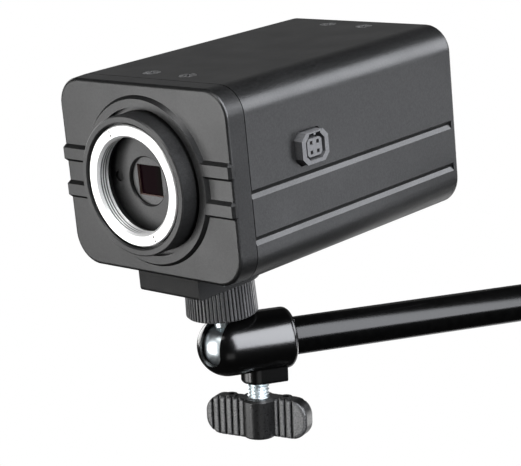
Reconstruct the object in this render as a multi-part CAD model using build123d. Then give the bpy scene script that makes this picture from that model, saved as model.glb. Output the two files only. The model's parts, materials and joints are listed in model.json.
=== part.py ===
from build123d import *
import math
import os

# A box camera held by a ball-and-socket wall arm. All sizes are in millimetres.
# The origin is on the lens axis, in the plane of the lens ring's front face.
# The lens looks to -Y, +Z is up, and the iris socket is on the +X side.

# Clearances
FIT_GAP = 0.1            # between pieces that are fixed to each other
RUN_GAP = 0.08           # radial, between a shaft and the bore that it turns or slides in

# Body section and its stations along the lens axis
BODY_W = 60.6
BODY_H = 49.4
BODY_RISE = 0.2          # the section's middle above the lens axis
TOP_R = 7.3
BOTTOM_R = 8.1
FACE_Y = 5.3             # flat face of the bezel
BEZEL_DEPTH = 5.6        # from the flat face to the seam with the cover
COVER_LENGTH = 79.0
REAR_T = 2.1             # rear panel
WALL = 1.5               # cover wall
SEAM_STEP = 0.25         # rebate that shows as a line between the bezel and the cover

# Front bezel
DRAFT_X = 0.7            # how far each side leans in towards the face
DRAFT_Z = 0.1
FACE_EDGE_R = 0.9
BEZEL_WALL = 3.0
FACE_WALL = 2.0
LIP = 3.0                # spigot that enters the cover
COLLAR_OUTER_R = 21.9    # raised ring round the barrel
COLLAR_TOP_R = 21.1
COLLAR_INNER_R = 19.0
COLLAR_H = 1.0
COLLAR_GROOVE = 0.8      # depth of the groove round the barrel, below the flat face
BOSS_R = 19.9
BOSS_LENGTH = 6.7        # boss behind the flat face
EAR_R = 2.6              # four screw ears outside the boss
EAR_TURN = 36.0          # ears above and below the horizontal
LUG_CLEARANCE = 0.5      # between the lugs and the barrel's flange

# Ribs of the bezel, two on each side
RIB_SPREAD = 9.6         # between the two ribs' centres
RIB_BASE = 4.5
RIB_H = 1.0
RIB_BEVEL = 0.8
RIB_CORNER = 0.7         # cut corner at a rib's outer end
RIB_SIDE = 0.3           # a rib's outer end inside the body's widest line
RIB_WRAP = 1.7           # how far it tapers back along the side
RIB_SINK = 0.7           # depth of the taper's end inside the widest line

# Lugs that the cover's screws enter
LUG_HALF = 11.0
LUG_T = 2.8
LUG_MARGIN = 4.1         # lug past the screw's axis
SCREW_X = 6.45
SCREW_INSET = 5.9        # front screws behind the seam
REAR_SCREW_INSET = 4.8   # rear screws ahead of the cover's end

# Cross-recessed countersunk screw
SCREW_HEAD_R = 2.35
SCREW_HEAD_RIM = 0.25
SCREW_HEAD_H = 1.3
SCREW_R = 1.25
SCREW_LENGTH = 4.6
CROSS_LENGTH = 2.7
CROSS_W = 0.55
CROSS_DEPTH = 0.9

# Lens barrel and ring
BARREL_R = 17.9
BARREL_PROUD = 0.28      # barrel's front edge ahead of the ring's face
BARREL_MOUTH_R = 16.0
BARREL_EDGE = 0.35
MOUTH_DEPTH = 1.6
RING_R = 15.5
RING_LENGTH = 5.0
RING_EDGE = 0.3
THREAD_R = 12.27         # 1-32 UN lens thread, minor radius
THREAD_MOUTH_R = 12.87
THREAD_CHAMFER = 0.6
RING_BACK_GAP = 0.3
WEB_T = 1.0              # floor of the lens cavity
WINDOW_R = 6.2
WINDOW_EDGE = 0.3
PEEP_X = -10.0
PEEP_Z = 0.5
PEEP_R = 1.4
PEEP_DEPTH = 0.6
POCKET_R = 13.0          # pocket behind the floor
FLANGE_T = 2.0
SPANNER_R = 0.32
SPANNER_DEPTH = 1.2
SPANNER_RADII = (13.6, 14.7)
SPANNER_ANGLE = 115.0

# Sensor stack
FILTER_W = 8.5
FILTER_H = 7.9
FILTER_T = 1.0
FILTER_STEP = 0.2        # filter's face behind the holder's
FILTER_LEDGE = 0.7
HOLDER_T = 2.7
SENSOR_SIDE = 12.0
SENSOR_T = 2.2
GASKET_WALL = 1.6
BOARD_T = 1.6
BOARD_CORNER = 2.0
SENSOR_BOARD_MARGIN = 2.8   # board past its outer screws
SENSOR_BOARD_DROP = 1.5     # board's edge below the lugs
BARREL_SCREW_R = 0.9
BARREL_SCREW_HEAD_R = 1.7
BARREL_SCREW_HEAD_H = 1.2
BARREL_SCREW_PCR = 22.5
BARREL_SCREW_DEPTH = 4.0

# Side grooves of the cover
GROOVE_W = 2.25
GROOVE_DEPTH = 0.6
UPPER_GROOVE_Z = -1.8
LOWER_GROOVE_UP = 11.1   # lower groove above the body's underside
GROOVE_OPEN = 0.5        # the cutter's reach past the side

# Main board, held between rails inside the cover
MAIN_BOARD_UP = 9.7      # board's underside above the body's underside
MAIN_BOARD_GAP_FRONT = 1.6   # behind the sensor board
MAIN_BOARD_GAP_REAR = 0.8    # ahead of the rear board
RAIL_T = 1.2
RAIL_DEPTH = 2.0
HEADER_W = 20.0
HEADER_H = 3.0
HEADER_SEAT = 4.0        # header's length on the main board
CHIP_SIDE = 14.0
CHIP_T = 1.4
CHIP_CORNER = 0.8
CHIP_X = -8.0
CHIP_BACK = 22.8         # behind the board's front edge
CAPACITOR_R = 3.2
CAPACITOR_H = 8.5
CAPACITOR_EDGE_R = 0.5
CAPACITOR_X = 13.0
CAPACITOR_AHEAD = 10.2   # last capacitor ahead of the board's rear edge
CAPACITOR_PITCH = 8.0
CAPACITORS = 3
COIL_SIDE = 12.0
COIL_H = 6.0
COIL_CORNER_R = 2.0
COIL_X = -13.0
COIL_AHEAD = 11.0        # ahead of the board's rear edge

# Iris socket on the +X side
IRIS_Y = 32.7
IRIS_Z = 5.3
IRIS_L = 9.8             # block along Y
IRIS_H = 8.0             # block along Z
IRIS_CUT = 1.7           # corner cuts
IRIS_PROUD = 2.1
IRIS_GAP = 0.4           # between the block and the cover
RECESS_L = 7.0
RECESS_H = 6.2
RECESS_CUT = 1.3
RECESS_DEPTH = 4.0
KEYWAY_W = 4.2
KEYWAY_H = 0.5
KEY_OVER = 0.2           # the key's root in the keyway's wall
KEY_W = 0.7
INSERT_L = 5.4
INSERT_H = 4.6
INSERT_CUT = 0.7
INSERT_SINK = 0.35       # insert's face below the block's
PIN_PITCH = 2.4
PIN_HOLE = 0.95
CONTACT_SIDE = 0.5
CONTACT_SINK = 1.2
IRIS_BOARD_INSET = 8.3   # board's inner face inside the body's side
IRIS_BOARD_HALF = 9.0
IRIS_BOARD_TOP = 7.0     # board above the socket's middle

# Rear panel and what it carries
REAR_EDGE_R = 1.0
REAR_RECESS = 0.5
REAR_RECESS_INSET = 3.5
IO_BOARD_GAP = 7.3       # board ahead of the panel
IO_BOARD_MARGIN = 2.8    # board inside the cover's walls
IO_BOARD_DROP = 1.5      # board's top below the lugs
IO_BOARD_LIFT = 2.1      # board's bottom above the lugs
SPACER_INSET = 3.5       # pillars inside the board's sides
SPACER_DROP = 4.5        # upper pillars below the board's top
SPACER_LIFT = 3.7        # lower pillars above the main board's top
SPACER_R = 2.3
SPACER_SCREW_R = 1.0
SPACER_SCREW_HEAD_R = 1.9
SPACER_SCREW_HEAD_H = 1.3
SPACER_SCREW_DEPTH = 4.0
VIDEO_INSET = 9.0        # socket inside the pillars
VIDEO_Z = 6.5
VIDEO_R = 4.85
VIDEO_BORE_R = 4.1
VIDEO_FLANGE_R = 6.6
VIDEO_FLANGE_T = 1.5
VIDEO_LENGTH = 12.0
VIDEO_NECK_R = 4.5
VIDEO_NECK = 5.0         # threaded neck ahead of the panel's outer face
VIDEO_CUP_DEPTH = 7.5
VIDEO_LUG_R = 0.95
VIDEO_LUG_OUT = 0.85
VIDEO_LUG_BACK = 3.2
INSULATOR_R = 2.5
INSULATOR_BACK = 2.2
CONTACT_R = 0.9
CONTACT_BORE_R = 0.45
CONTACT_BACK = 2.6
NUT_ACROSS = 11.5
NUT_T = 2.0
TERMINAL_GAP = 4.0       # between the terminal and the pillar beside it
TERMINAL_LIFT = 8.5      # terminal's middle above the rear board's bottom
TERMINAL_EDGE = 0.5
TERMINAL_W = 11.4
TERMINAL_H = 8.6
TERMINAL_OUT = 5.0
TERMINAL_PITCH = 5.08
WIRE_W = 2.8
WIRE_H = 3.2
WIRE_DEPTH = 4.5
TERMINAL_SCREW_R = 1.6
TERMINAL_SCREW_H = 1.2
TERMINAL_SLOT_W = 0.6
LED_Z = -10.0            # the lamp stands under the video socket
LED_R = 1.5
LED_OUT = 0.7
KEYS_X = 11.0
KEYS_DROP = 10.5         # middle key below the rear board's top
KEY_SPACING = 6.6
KEY_R = 1.9
KEY_PROUD = 0.9
KEY_TRAVEL = 0.5
KEY_COLLAR_R = 2.6
KEY_COLLAR_T = 1.0
KEY_COLLAR_GAP = 0.3
SWITCH_SIDE = 4.4
SWITCH_T = 1.6
PLUNGER_R = 1.1
PLUNGER_H = 0.6

# Mount block under the front
BLOCK_HALF_W = 10.7
BLOCK_FRONT = 8.6
BLOCK_H = 6.4
BLOCK_EDGE_R = 1.0
SINK_DEPTH = 0.3         # block screws' heads above the block's underside
STUD_Y = 26.6            # axis of the ball's stud

# Lock ring, stud and ball
RING_GAP = 0.15          # between the lock ring and the block
LOCK_H = 9.7
LOCK_R = 9.5
LOCK_TOP_R = 9.2
KNURLS = 56
KNURL_DEPTH = 0.4
LOCK_EDGE = 0.5
STUD_R = 3.1
STUD_ENGAGED = 5.4       # stud inside the block
NECK_R = 2.45
BALL_R = 6.2
BALL_DROP = 9.1          # ball's centre below the lock ring

# Ball housing and arm, drawn along +X from the ball's centre and then turned and tilted
ARM_TURN = 63.0
ARM_TILT = 3.5           # the arm falls away from the ball by this angle
HOUSING_R = 8.2
HOUSING_LENGTH = 18.0
HOUSING_EDGE_R = 1.8
DOME_X = 0.6             # dome's centre beyond the ball's centre
SOCKET_GAP = 0.1         # between the ball and its socket
SLOT_HALF_W = 3.3
SLOT_TURN = 34.5         # slot turned from straight ahead of the arm
SLOT_DOWN_DEG = 4.0      # slot runs this far below level
CLAMP_X = 8.65           # axis of the clamp screw
TONGUE_R = 4.5
TONGUE_END = 15.6
TONGUE_DROP = 2.9        # tongue below the housing
TONGUE_EDGE_R = 0.9
CLAMP_R = 2.9            # M6 clamp screw
CLAMP_TIP = 9.35         # screw's tip below the ball's centre
PAD_TOP = 2.2
PAD_TIP_GAP = 0.05
PAD_BALL_GAP = 0.3
KNOB_DROP = 4.3          # knob below the tongue
KNOB_H = 10.8
KNOB_SPAN = 28.3
KNOB_TURN = 15.6         # wings' angle from the +X direction
HUB_R = 4.8
HUB_EDGE = 0.6
HUB_EXTRA = 0.1          # hub past the wings, below
WING_T = 4.8
WING_OFFSET = 1.7        # each wing's middle to one side of the hub's axis
WING_END_R = 4.6
WING_EDGE_R = 0.9
RIDGE_FIRST = 2.2        # first groove from the hub's axis
RIDGE_PITCH = 1.94
RIDGE_W = 1.2            # groove's mouth
RIDGE_FLOOR_W = 0.5
RIDGE_DEPTH = 0.8
RIDGES_FRONT = (0, 1, 2, 3, 4, 5)   # grooves on a wing's forward face
RIDGES_BACK = (2, 3, 4)             # and on its set-back face
SCREW_IN_KNOB = 8.5
DIMPLE_R = 0.8
DIMPLE_RIM_R = 1.7
DIMPLE_RIM_H = 0.3
DIMPLE_DEPTH = 1.4
DIMPLE_X = 7.3
ROD_R = 5.12
ROD_EDGE = 0.5
ROD_START = 12.0
ARM_LENGTH = 150.0       # ball's centre to the wall
FLANGE_R = 30.0
FLANGE_PLATE = 4.0
FLANGE_HUB_R = 9.0
FLANGE_HUB_TOP_R = 7.6
FLANGE_HUB = 16.0
FLANGE_WEB = 2.0
FLANGE_EDGE_R = 1.5
WALL_HOLES = 3
WALL_HOLE_R = 2.3
WALL_HOLE_PCR = 22.0
WALL_SINK_R = 4.2
WALL_SINK_DEPTH = 1.6
SET_SCREW_R = 2.0
SET_SCREW_BACK = 5.0     # set screw behind the hub's end
SET_HEX = 2.0
SET_HEX_DEPTH = 1.5

# Stations that follow from the sizes above
TOP_Z = BODY_RISE + BODY_H / 2
BOTTOM_Z = BODY_RISE - BODY_H / 2
SIDE_X = BODY_W / 2
SEAM_Y = FACE_Y + BEZEL_DEPTH
COVER_END = SEAM_Y + COVER_LENGTH
REAR_Y = COVER_END + REAR_T
BOSS_END = FACE_Y + BOSS_LENGTH
FLANGE_END = BOSS_END + FLANGE_T
FRONT_SCREW_Y = SEAM_Y + SCREW_INSET
REAR_SCREW_Y = COVER_END - REAR_SCREW_INSET
WEB_Y = RING_LENGTH + RING_BACK_GAP
LUG_UNDER_TOP = TOP_Z - WALL - FIT_GAP - LUG_T
LUG_OVER_BOTTOM = BOTTOM_Z + WALL + FIT_GAP + LUG_T
BARREL_SCREW_X = BARREL_SCREW_PCR * math.cos(math.radians(EAR_TURN))
BARREL_SCREW_Z = BARREL_SCREW_PCR * math.sin(math.radians(EAR_TURN))
HOLDER_Y = WEB_Y + WEB_T
SENSOR_BOARD_BACK = FLANGE_END + BOARD_T
IO_BOARD_BACK = COVER_END - IO_BOARD_GAP
IO_BOARD_FRONT = IO_BOARD_BACK - BOARD_T
IO_BOARD_HALF_W = SIDE_X - WALL - IO_BOARD_MARGIN
IO_BOARD_TOP = LUG_UNDER_TOP - IO_BOARD_DROP
IO_BOARD_BOTTOM = LUG_OVER_BOTTOM + IO_BOARD_LIFT
SPACER_X = IO_BOARD_HALF_W - SPACER_INSET
SPACER_TOP_Z = IO_BOARD_TOP - SPACER_DROP
VIDEO_X = VIDEO_INSET - SPACER_X
LED_X = VIDEO_X
KEYS_Z = IO_BOARD_TOP - KEYS_DROP
TERMINAL_X = SPACER_X - SPACER_R - TERMINAL_GAP - TERMINAL_W / 2
TERMINAL_Z = IO_BOARD_BOTTOM + TERMINAL_LIFT
LOWER_GROOVE_Z = BOTTOM_Z + LOWER_GROOVE_UP
MAIN_BOARD_Z = BOTTOM_Z + MAIN_BOARD_UP
MAIN_BOARD_FRONT = SENSOR_BOARD_BACK + MAIN_BOARD_GAP_FRONT
MAIN_BOARD_BACK = IO_BOARD_FRONT - MAIN_BOARD_GAP_REAR
BOARD_TOP = MAIN_BOARD_Z + BOARD_T
SPACER_BOTTOM_Z = BOARD_TOP + SPACER_LIFT
BLOCK_Z = BOTTOM_Z - BLOCK_H
LOCK_TOP_Z = BLOCK_Z - RING_GAP
LOCK_Z = LOCK_TOP_Z - LOCK_H
BALL_Z = LOCK_Z - BALL_DROP
ARM_PLACE = Location((0, STUD_Y, BALL_Z)) * Rot(0, 0, ARM_TURN) * Rot(0, ARM_TILT, 0)
TONGUE_Z = -HOUSING_R - TONGUE_DROP
KNOB_Z = TONGUE_Z - KNOB_DROP
IRIS_BOARD_X = SIDE_X - IRIS_BOARD_INSET
IRIS_BOARD_BACK = IRIS_BOARD_X + BOARD_T
IRIS_FACE_X = SIDE_X + IRIS_PROUD


# Shapes that several pieces share

def across(y):
    """A sketch plane across the lens axis, with X to the right and Z up."""
    return Plane(origin=(0, y, 0), x_dir=(1, 0, 0), z_dir=(0, -1, 0))


def run_back(sketch, y0, y1):
    """A sketch of X and Z, carried back from y0 to y1."""
    return extrude(across(y0) * sketch, amount=-(y1 - y0))


def block(x0, x1, y0, y1, z0, z1):
    """A box between two corners."""
    return Pos((x0 + x1) / 2, (y0 + y1) / 2, (z0 + z1) / 2) * Box(x1 - x0, y1 - y0, z1 - z0)


def turned_y(points):
    """An outline of radius and y, turned about the lens axis."""
    return revolve(make_face(Polyline(*points, close=True)), Axis.Y)


def turned_z(points):
    """An outline of radius and z, turned about the Z axis."""
    return revolve(Plane.XZ * make_face(Polyline(*points, close=True)), Axis.Z)


def turned_x(points):
    """An outline of x and radius, turned about the X axis."""
    return revolve(make_face(Polyline(*points, close=True)), Axis.X)


def rod_y(x, z, r, y0, y1):
    """A round rod along Y."""
    return run_back(Pos(x, z) * Circle(r), y0, y1)


def rod_z(x, y, r, z0, z1):
    """A round rod along Z."""
    return Pos(x, y, (z0 + z1) / 2) * Cylinder(r, z1 - z0)


def rounded_section(width, height, top_r, bottom_r):
    """The body's section: a rectangle with its own radius at top and at bottom."""
    sketch = Rectangle(width, height)
    sketch = fillet(sketch.vertices().group_by(Axis.Y)[-1], top_r)
    sketch = fillet(sketch.vertices().group_by(Axis.Y)[0], bottom_r)
    return Pos(0, BODY_RISE) * sketch


def body_section(inset=0.0):
    """The body's section, shrunk by an inset all round."""
    return rounded_section(BODY_W - 2 * inset, BODY_H - 2 * inset, TOP_R - inset, BOTTOM_R - inset)


def cut_corner_sketch(length, height, cut):
    """A rectangle with its four corners cut at 45 degrees."""
    sketch = Rectangle(length, height)
    return chamfer(sketch.vertices(), cut)


def countersunk_screw():
    """A cross-recessed screw whose head lies flush at z = 0, with its shank below."""
    screw = turned_z([
        (0, 0), (SCREW_HEAD_R, 0), (SCREW_HEAD_R, -SCREW_HEAD_RIM),
        (SCREW_R, -SCREW_HEAD_H), (SCREW_R, -SCREW_LENGTH), (0, -SCREW_LENGTH),
    ])
    bar = Box(CROSS_LENGTH, CROSS_W, 2 * CROSS_DEPTH)
    return screw - bar - Rot(0, 0, 90) * bar


def countersunk_hole(depth):
    """The hole that such a screw needs in a wall, opening upwards at z = 0."""
    head = SCREW_HEAD_R + FIT_GAP
    shank = SCREW_R + FIT_GAP
    return turned_z([
        (0, 1), (head, 1), (head, -SCREW_HEAD_RIM),
        (shank, -SCREW_HEAD_H), (shank, -depth), (0, -depth),
    ])


def screw_pair(y, surface_z, facing_up=True):
    """Two screws side by side in the top or the bottom of the body."""
    turn = Rot(0, 0, 45) if facing_up else Rot(180, 0, 0)
    return [Pos(x, y, surface_z) * turn * countersunk_screw() for x in (-SCREW_X, SCREW_X)]


def screw_lug(y0, y1, screw_y):
    """The top and bottom lugs that reach under the cover and take its screws."""
    inner_top = TOP_Z - WALL - FIT_GAP
    inner_bottom = BOTTOM_Z + WALL + FIT_GAP
    lugs = block(-LUG_HALF, LUG_HALF, y0, y1, inner_top - LUG_T, inner_top)
    lugs += block(-LUG_HALF, LUG_HALF, y0, y1, inner_bottom, inner_bottom + LUG_T)
    for x in (-SCREW_X, SCREW_X):
        lugs -= rod_z(x, screw_y, SCREW_R, BOTTOM_Z, TOP_Z)
    return lugs


def cover_spigot(y0, y1):
    """The thin wall that enters the cover."""
    return run_back(body_section(WALL + FIT_GAP) - body_section(BEZEL_WALL), y0, y1)


# Front bezel, barrel and lens ring

def bezel_rib():
    """One rib: it runs out from the collar and folds back over the side."""
    inner = COLLAR_INNER_R + RIB_H
    front = FACE_Y - RIB_H
    root = FACE_Y + FACE_WALL - FIT_GAP
    outer = SIDE_X - RIB_SIDE
    back = FACE_Y + RIB_WRAP
    inside = SIDE_X - BEZEL_WALL + FIT_GAP
    plan = Polyline(
        (inner, root), (inner, front), (outer - RIB_CORNER, front), (outer, front + RIB_CORNER),
        (SIDE_X - RIB_SINK, back), (inside, back), (inside, root),
        close=True,
    )
    rib = Pos(0, 0, -RIB_BASE / 2) * extrude(make_face(plan), RIB_BASE)
    flat_ends = rib.faces().filter_by(Axis.Z)
    return chamfer(flat_ends.edges(), RIB_BEVEL)


def bezel_ribs():
    """The four ribs, two on each side of the collar."""
    right = bezel_rib()
    pair = [Pos(0, 0, BODY_RISE + side * RIB_SPREAD / 2) * right for side in (-1, 1)]
    return pair + [mirror(rib, Plane.YZ) for rib in pair]


def front_bezel():
    """The cast front: flat face, collar, ribs, boss for the barrel, spigot and lugs."""
    seam = across(SEAM_Y - SEAM_STEP) * body_section()
    face = across(FACE_Y) * rounded_section(
        BODY_W - 2 * DRAFT_X, BODY_H - 2 * DRAFT_Z, TOP_R, BOTTOM_R)
    bezel = loft([seam.face(), face.face()])
    bezel = fillet(bezel.faces().sort_by(Axis.Y)[0].edges(), FACE_EDGE_R)
    bezel += run_back(body_section(SEAM_STEP), SEAM_Y - 2 * SEAM_STEP, SEAM_Y)
    for rib in bezel_ribs():
        bezel += rib
    bezel -= run_back(body_section(BEZEL_WALL), FACE_Y + FACE_WALL, SEAM_Y + 1)
    bezel += cover_spigot(SEAM_Y - 1, SEAM_Y + LIP)
    bezel += turned_y([
        (COLLAR_INNER_R - 1, FACE_Y + 1), (COLLAR_INNER_R - 1, FACE_Y - COLLAR_H),
        (COLLAR_TOP_R, FACE_Y - COLLAR_H), (COLLAR_OUTER_R, FACE_Y), (COLLAR_OUTER_R, FACE_Y + 1),
    ])
    bore = BARREL_R + FIT_GAP
    bezel += turned_y([
        (bore, FACE_Y + 1), (BOSS_R, FACE_Y + 1), (BOSS_R, BOSS_END), (bore, BOSS_END),
    ])
    bezel += screw_ears(bore, FACE_Y + 1, BOSS_END)
    bezel += screw_lug(SEAM_Y - 1, FRONT_SCREW_Y + LUG_MARGIN, FRONT_SCREW_Y)
    bezel -= rod_y(0, 0, bore, FACE_Y - COLLAR_H - 1, BOSS_END + 1)
    bezel -= rod_y(0, 0, COLLAR_INNER_R, FACE_Y - COLLAR_H - 1, FACE_Y + COLLAR_GROOVE)
    for x, z in barrel_screw_places():
        bezel -= rod_y(x, z, BARREL_SCREW_R, BOSS_END - BARREL_SCREW_DEPTH, BOSS_END + 1)
    return bezel


def barrel_screw_places():
    """Where the four screws of the barrel's flange stand round the lens axis."""
    return [(x, z) for x in (-BARREL_SCREW_X, BARREL_SCREW_X) for z in (-BARREL_SCREW_Z, BARREL_SCREW_Z)]


def screw_ears(inner_r, y0, y1):
    """Four round-ended ears, joined to the ring inside them."""
    ear = Pos(BARREL_SCREW_PCR / 2, 0) * Rectangle(BARREL_SCREW_PCR, 2 * EAR_R)
    ear += Pos(BARREL_SCREW_PCR, 0) * Circle(EAR_R)
    ear -= Circle(inner_r)
    turns = (EAR_TURN, 180 - EAR_TURN, 180 + EAR_TURN, -EAR_TURN)
    return run_back(Sketch() + [Rot(0, 0, turn) * ear for turn in turns], y0, y1)


def lens_barrel():
    """The black barrel: mouth, threaded seat of the ring, floor with its window, and flange."""
    seat = RING_R + RUN_GAP
    front = -BARREL_PROUD
    barrel = turned_y([
        (BARREL_MOUTH_R, front + BARREL_EDGE), (BARREL_MOUTH_R + BARREL_EDGE, front),
        (BARREL_R - BARREL_EDGE, front), (BARREL_R, front + BARREL_EDGE),
        (BARREL_R, BOSS_END), (BOSS_R, BOSS_END), (BOSS_R, FLANGE_END),
        (POCKET_R, FLANGE_END), (POCKET_R, HOLDER_Y), (WINDOW_R, HOLDER_Y),
        (WINDOW_R, WEB_Y + WINDOW_EDGE), (WINDOW_R + WINDOW_EDGE, WEB_Y),
        (seat, WEB_Y), (seat, MOUTH_DEPTH), (BARREL_MOUTH_R, MOUTH_DEPTH),
    ])
    reach = LUG_UNDER_TOP - LUG_CLEARANCE
    for z0, z1 in ((reach, reach + BOSS_R), (-reach - BOSS_R, -reach)):
        barrel -= block(-BOSS_R, BOSS_R, BOSS_END, FLANGE_END + 1, z0, z1)
    barrel += screw_ears(POCKET_R, BOSS_END, FLANGE_END)
    barrel -= rod_y(PEEP_X, PEEP_Z, PEEP_R, WEB_Y - 1, WEB_Y + PEEP_DEPTH)
    for x, z in barrel_screw_places():
        barrel -= rod_y(x, z, BARREL_SCREW_R + FIT_GAP, BOSS_END - 1, FLANGE_END + 1)
    return barrel


def lens_ring():
    """The metal ring that the lens screws into, with four spanner holes in its face."""
    ring = turned_y([
        (THREAD_R, THREAD_CHAMFER), (THREAD_MOUTH_R, 0), (RING_R - RING_EDGE, 0),
        (RING_R, RING_EDGE), (RING_R, RING_LENGTH), (THREAD_R, RING_LENGTH),
    ])
    for turn in (SPANNER_ANGLE, SPANNER_ANGLE + 180):
        for radius in SPANNER_RADII:
            x = radius * math.cos(math.radians(turn))
            z = radius * math.sin(math.radians(turn))
            ring -= rod_y(x, z, SPANNER_R, -1, SPANNER_DEPTH)
    return ring


# Sensor stack behind the lens cavity

def filter_holder():
    """The grey holder behind the window, with a ledge for the filter."""
    ledge_y = HOLDER_Y + FILTER_STEP + FILTER_T
    holder = rod_y(0, 0, POCKET_R - FIT_GAP, HOLDER_Y, HOLDER_Y + HOLDER_T)
    holder -= run_back(Rectangle(FILTER_W, FILTER_H), HOLDER_Y - 1, ledge_y)
    ledge = Rectangle(FILTER_W - 2 * FILTER_LEDGE, FILTER_H - 2 * FILTER_LEDGE)
    return holder - run_back(ledge, ledge_y - 1, HOLDER_Y + HOLDER_T + 1)


def ir_filter():
    """The red glass plate in front of the image sensor."""
    pane = Rectangle(FILTER_W - FIT_GAP, FILTER_H - FIT_GAP)
    return run_back(pane, HOLDER_Y + FILTER_STEP, HOLDER_Y + FILTER_STEP + FILTER_T)


def sensor_gasket():
    """The square rubber frame between the holder and the sensor."""
    outer = Rectangle(SENSOR_SIDE, SENSOR_SIDE)
    inner = Rectangle(SENSOR_SIDE - 2 * GASKET_WALL, SENSOR_SIDE - 2 * GASKET_WALL)
    return run_back(outer - inner, HOLDER_Y + HOLDER_T, FLANGE_END - SENSOR_T)


def image_sensor():
    """The sensor's package, seated on its board."""
    return run_back(Rectangle(SENSOR_SIDE, SENSOR_SIDE), FLANGE_END - SENSOR_T, FLANGE_END)


def sensor_board():
    """The upright board that closes the barrel's flange."""
    half_w = BARREL_SCREW_X + SENSOR_BOARD_MARGIN
    half_h = LUG_UNDER_TOP - SENSOR_BOARD_DROP
    board = chamfer(Rectangle(2 * half_w, 2 * half_h).vertices(), BOARD_CORNER)
    solid = run_back(board, FLANGE_END, SENSOR_BOARD_BACK)
    for x, z in barrel_screw_places():
        solid -= rod_y(x, z, BARREL_SCREW_R + FIT_GAP, FLANGE_END - 1, SENSOR_BOARD_BACK + 1)
    return solid


def barrel_screws():
    """Four screws through the board and the flange into the bezel's boss."""
    tip = BOSS_END - BARREL_SCREW_DEPTH
    head_end = SENSOR_BOARD_BACK + BARREL_SCREW_HEAD_H
    screws = []
    for x, z in barrel_screw_places():
        screw = rod_y(x, z, BARREL_SCREW_R, tip, SENSOR_BOARD_BACK)
        screw += rod_y(x, z, BARREL_SCREW_HEAD_R, SENSOR_BOARD_BACK, head_end)
        screws.append(screw)
    return screws


# Cover and the boards inside it

def iris_outline(length, height, cut):
    """A cut-corner outline on the body's +X side, with Y to the right and Z up."""
    plane = Plane(origin=(0, IRIS_Y, IRIS_Z), x_dir=(0, 1, 0), z_dir=(1, 0, 0))
    return plane * cut_corner_sketch(length, height, cut)


def side_prism(sketch, x0, x1):
    """A sketch on the side plane, carried out from x0 to x1."""
    return extrude(Pos(x0, 0, 0) * sketch, x1 - x0)


def side_groove(z):
    """A V groove along the cover's +X side."""
    outside = SIDE_X + GROOVE_OPEN
    flank = GROOVE_W / 2 * (1 + GROOVE_OPEN / GROOVE_DEPTH)
    vee = Polyline((outside, z + flank), (SIDE_X - GROOVE_DEPTH, z), (outside, z - flank), close=True)
    return run_back(make_face(vee), SEAM_Y - 1, COVER_END + 1)


def board_rails():
    """The two pairs of rails that the main board slides between."""
    wall_x = SIDE_X - WALL
    y0 = SEAM_Y + LIP + FIT_GAP
    y1 = COVER_END - LIP - FIT_GAP
    under = MAIN_BOARD_Z - FIT_GAP
    over = BOARD_TOP + FIT_GAP
    rails = []
    for side in (-1, 1):
        near, far = sorted((side * (wall_x - RAIL_DEPTH), side * (wall_x + WALL / 2)))
        rails.append(block(near, far, y0, y1, under - RAIL_T, under))
        rails.append(block(near, far, y0, y1, over, over + RAIL_T))
    return rails


def cover_sleeve():
    """The extruded cover, with side grooves, board rails and countersunk holes."""
    sleeve = run_back(body_section(), SEAM_Y, COVER_END)
    for z in (UPPER_GROOVE_Z, LOWER_GROOVE_Z):
        groove = side_groove(z)
        sleeve = sleeve - groove - mirror(groove, Plane.YZ)
    sleeve -= run_back(body_section(WALL), SEAM_Y - 1, COVER_END + 1)
    for rail in board_rails():
        sleeve += rail
    opening = iris_outline(IRIS_L + 2 * IRIS_GAP, IRIS_H + 2 * IRIS_GAP, IRIS_CUT)
    sleeve -= side_prism(opening, SIDE_X - WALL - 1, SIDE_X + 1)
    for x in (-SCREW_X, SCREW_X):
        for y in (FRONT_SCREW_Y, REAR_SCREW_Y):
            sleeve -= Pos(x, y, TOP_Z) * countersunk_hole(2 * WALL)
        sleeve -= Pos(x, REAR_SCREW_Y, BOTTOM_Z) * Rot(180, 0, 0) * countersunk_hole(2 * WALL)
        sleeve -= rod_z(x, FRONT_SCREW_Y, SCREW_R + FIT_GAP, BOTTOM_Z - 1, BOTTOM_Z + WALL + 1)
    return sleeve


def main_board():
    """The long board between the cover's rails."""
    half = SIDE_X - WALL - 2 * FIT_GAP
    return block(-half, half, MAIN_BOARD_FRONT, MAIN_BOARD_BACK, MAIN_BOARD_Z, BOARD_TOP)


def sensor_header():
    """The connector between the sensor board and the main board."""
    back = MAIN_BOARD_FRONT + HEADER_SEAT
    return block(-HEADER_W / 2, HEADER_W / 2, SENSOR_BOARD_BACK, back, BOARD_TOP, BOARD_TOP + HEADER_H)


def io_header():
    """The connector between the main board and the rear board."""
    front = MAIN_BOARD_BACK - HEADER_SEAT
    return block(-HEADER_W / 2, HEADER_W / 2, front, IO_BOARD_FRONT, BOARD_TOP, BOARD_TOP + HEADER_H)


def processor_chip():
    """The flat signal processor on the main board."""
    y = MAIN_BOARD_FRONT + CHIP_BACK
    chip = Pos(CHIP_X, y, BOARD_TOP + CHIP_T / 2) * Box(CHIP_SIDE, CHIP_SIDE, CHIP_T)
    return chamfer(chip.edges().filter_by(Axis.Z), CHIP_CORNER)


def capacitors():
    """Round capacitors in a row on the main board."""
    last = MAIN_BOARD_BACK - CAPACITOR_AHEAD
    cans = []
    for index in range(CAPACITORS):
        y = last - index * CAPACITOR_PITCH
        can = rod_z(CAPACITOR_X, y, CAPACITOR_R, BOARD_TOP, BOARD_TOP + CAPACITOR_H)
        cans.append(fillet(can.edges().sort_by(Axis.Z)[-1], CAPACITOR_EDGE_R))
    return cans


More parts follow.
